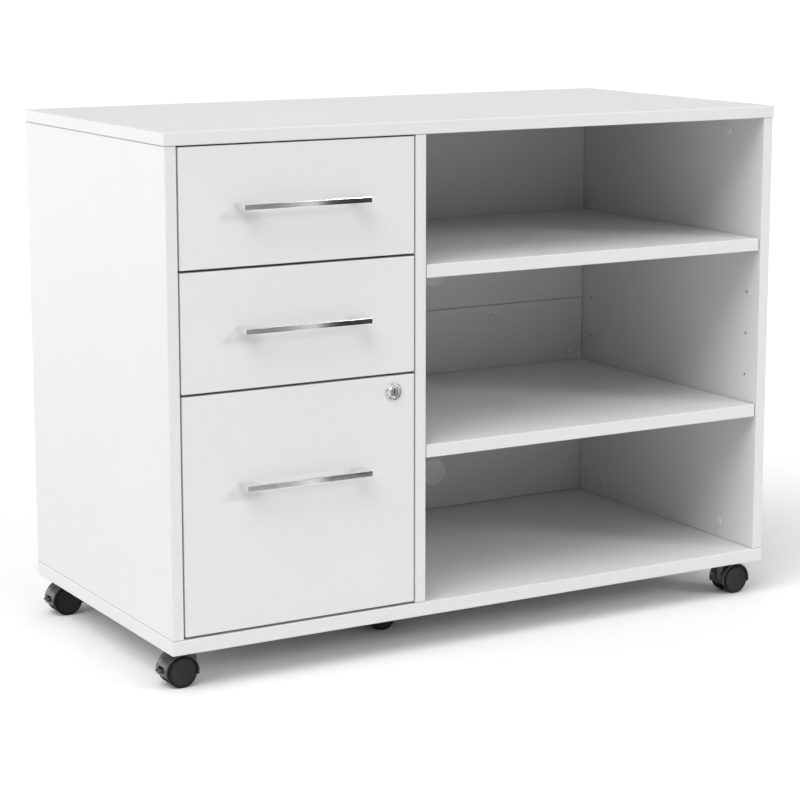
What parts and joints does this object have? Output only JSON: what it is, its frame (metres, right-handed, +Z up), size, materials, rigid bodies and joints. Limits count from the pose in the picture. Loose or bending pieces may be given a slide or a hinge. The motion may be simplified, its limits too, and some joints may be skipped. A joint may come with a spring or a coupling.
{
  "type": "rolling storage cabinet",
  "caption": "Wide white cabinet on twin-wheel casters: box drawers over a locking file drawer on the left, open bay with adjustable shelves on the right.",
  "frame": {"origin": "on the floor, under the centre of the object's bounding box", "axes": "+X to the viewer's right across the front, +Y from front to back, +Z up; drawers open towards -Y"},
  "size_m": [0.9126, 0.467, 0.684],
  "materials": {
    "white_laminate": "white laminate on particleboard, satin",
    "drawer_board": "white foil on particleboard, matte",
    "zinc_steel": "bright zinc plate",
    "chrome": "polished",
    "nickel": "satin nickel plate",
    "grommet_plastic": "light grey, matte",
    "caster_plastic": "black nylon, semi-gloss",
    "wheel_plastic": "black nylon, satin"
  },
  "bodies": {
    "carcass": {"top_panel": "white_laminate", "bottom_panel": "white_laminate", "left_side_panel": "white_laminate", "right_side_panel": "white_laminate", "divider_panel": "white_laminate", "lower_back_board": "white_laminate", "upper_back_board": "white_laminate", "lower_shelf": "white_laminate", "upper_shelf": "white_laminate", "lower_cable_grommet": "grommet_plastic", "upper_cable_grommet": "grommet_plastic", "upper_slide_left_outer": "zinc_steel", "upper_slide_right_outer": "zinc_steel", "middle_slide_left_outer": "zinc_steel", "middle_slide_right_outer": "zinc_steel", "file_slide_left_outer": "zinc_steel", "file_slide_right_outer": "zinc_steel", "caster_front_left_plate": "zinc_steel", "caster_back_left_plate": "zinc_steel", "caster_front_right_plate": "zinc_steel", "caster_back_right_plate": "zinc_steel", "caster_middle_plate": "zinc_steel"},
    "upper_drawer": {"upper_drawer_front": "white_laminate", "upper_drawer_left_side": "drawer_board", "upper_drawer_right_side": "drawer_board", "upper_drawer_back": "drawer_board", "upper_drawer_bottom": "drawer_board", "upper_slide_left_inner": "zinc_steel", "upper_slide_right_inner": "zinc_steel", "upper_handle": "chrome"},
    "middle_drawer": {"middle_drawer_front": "white_laminate", "middle_drawer_left_side": "drawer_board", "middle_drawer_right_side": "drawer_board", "middle_drawer_back": "drawer_board", "middle_drawer_bottom": "drawer_board", "middle_slide_left_inner": "zinc_steel", "middle_slide_right_inner": "zinc_steel", "middle_handle": "chrome"},
    "file_drawer": {"file_drawer_front": "white_laminate", "file_drawer_left_side": "drawer_board", "file_drawer_right_side": "drawer_board", "file_drawer_back": "drawer_board", "file_drawer_bottom": "drawer_board", "file_slide_left_inner": "zinc_steel", "file_slide_right_inner": "zinc_steel", "file_handle": "chrome", "lock_barrel": "nickel"},
    "lock_plug": {"lock_plug": "nickel"},
    "caster_front_left_fork": {"caster_front_left_housing": "caster_plastic"},
    "caster_front_left_wheels": {"caster_front_left_wheels": "wheel_plastic"},
    "caster_front_left_brake": {"caster_front_left_brake_lever": "caster_plastic"},
    "caster_back_left_fork": {"caster_back_left_housing": "caster_plastic"},
    "caster_back_left_wheels": {"caster_back_left_wheels": "wheel_plastic"},
    "caster_back_left_brake": {"caster_back_left_brake_lever": "caster_plastic"},
    "caster_front_right_fork": {"caster_front_right_housing": "caster_plastic"},
    "caster_front_right_wheels": {"caster_front_right_wheels": "wheel_plastic"},
    "caster_back_right_fork": {"caster_back_right_housing": "caster_plastic"},
    "caster_back_right_wheels": {"caster_back_right_wheels": "wheel_plastic"},
    "caster_middle_fork": {"caster_middle_housing": "caster_plastic"},
    "caster_middle_wheels": {"caster_middle_wheels": "wheel_plastic"}
  },
  "joints": [
    {"name": "upper_drawer_slide", "type": "slide", "parent": "carcass", "child": "upper_drawer", "axis": [0, -1, 0], "range_m": [0, 0.3]},
    {"name": "middle_drawer_slide", "type": "slide", "parent": "carcass", "child": "middle_drawer", "axis": [0, -1, 0], "range_m": [0, 0.3]},
    {"name": "file_drawer_slide", "type": "slide", "parent": "carcass", "child": "file_drawer", "axis": [0, -1, 0], "range_m": [0, 0.3]},
    {"name": "lock_turn", "type": "hinge", "parent": "file_drawer", "child": "lock_plug", "pos_m": [-0.1395, -0.2085, 0.346], "axis": [0, -1, 0], "range_deg": [0, 90]},
    {"name": "caster_front_left_swivel", "type": "hinge", "parent": "carcass", "child": "caster_front_left_fork", "pos_m": [-0.4127, -0.176, 0.02], "axis": [0, 0, 1], "continuous": true},
    {"name": "caster_front_left_roll", "type": "hinge", "parent": "caster_front_left_fork", "child": "caster_front_left_wheels", "pos_m": [-0.4282, -0.176, 0.02], "axis": [0, 1, 0], "continuous": true},
    {"name": "caster_front_left_brake_press", "type": "hinge", "parent": "caster_front_left_fork", "child": "caster_front_left_brake", "pos_m": [-0.4508, -0.176, 0.0226], "axis": [0, -1, 0], "range_deg": [0, 15]},
    {"name": "caster_back_left_swivel", "type": "hinge", "parent": "carcass", "child": "caster_back_left_fork", "pos_m": [-0.4127, 0.191, 0.02], "axis": [0, 0, 1], "continuous": true},
    {"name": "caster_back_left_roll", "type": "hinge", "parent": "caster_back_left_fork", "child": "caster_back_left_wheels", "pos_m": [-0.4282, 0.191, 0.02], "axis": [0, 1, 0], "continuous": true},
    {"name": "caster_back_left_brake_press", "type": "hinge", "parent": "caster_back_left_fork", "child": "caster_back_left_brake", "pos_m": [-0.4508, 0.191, 0.0226], "axis": [0, -1, 0], "range_deg": [0, 15]},
    {"name": "caster_front_right_swivel", "type": "hinge", "parent": "carcass", "child": "caster_front_right_fork", "pos_m": [0.4099, -0.176, 0.02], "axis": [0, 0, 1], "continuous": true},
    {"name": "caster_front_right_roll", "type": "hinge", "parent": "caster_front_right_fork", "child": "caster_front_right_wheels", "pos_m": [0.4254, -0.176, 0.02], "axis": [0, 1, 0], "continuous": true},
    {"name": "caster_back_right_swivel", "type": "hinge", "parent": "carcass", "child": "caster_back_right_fork", "pos_m": [0.4099, 0.191, 0.02], "axis": [0, 0, 1], "continuous": true},
    {"name": "caster_back_right_roll", "type": "hinge", "parent": "caster_back_right_fork", "child": "caster_back_right_wheels", "pos_m": [0.4254, 0.191, 0.02], "axis": [0, 1, 0], "continuous": true},
    {"name": "caster_middle_swivel", "type": "hinge", "parent": "carcass", "child": "caster_middle_fork", "pos_m": [-0.1084, -0.084, 0.02], "axis": [0, 0, 1], "continuous": true},
    {"name": "caster_middle_roll", "type": "hinge", "parent": "caster_middle_fork", "child": "caster_middle_wheels", "pos_m": [-0.0929, -0.084, 0.02], "axis": [0, 1, 0], "continuous": true}
  ]
}
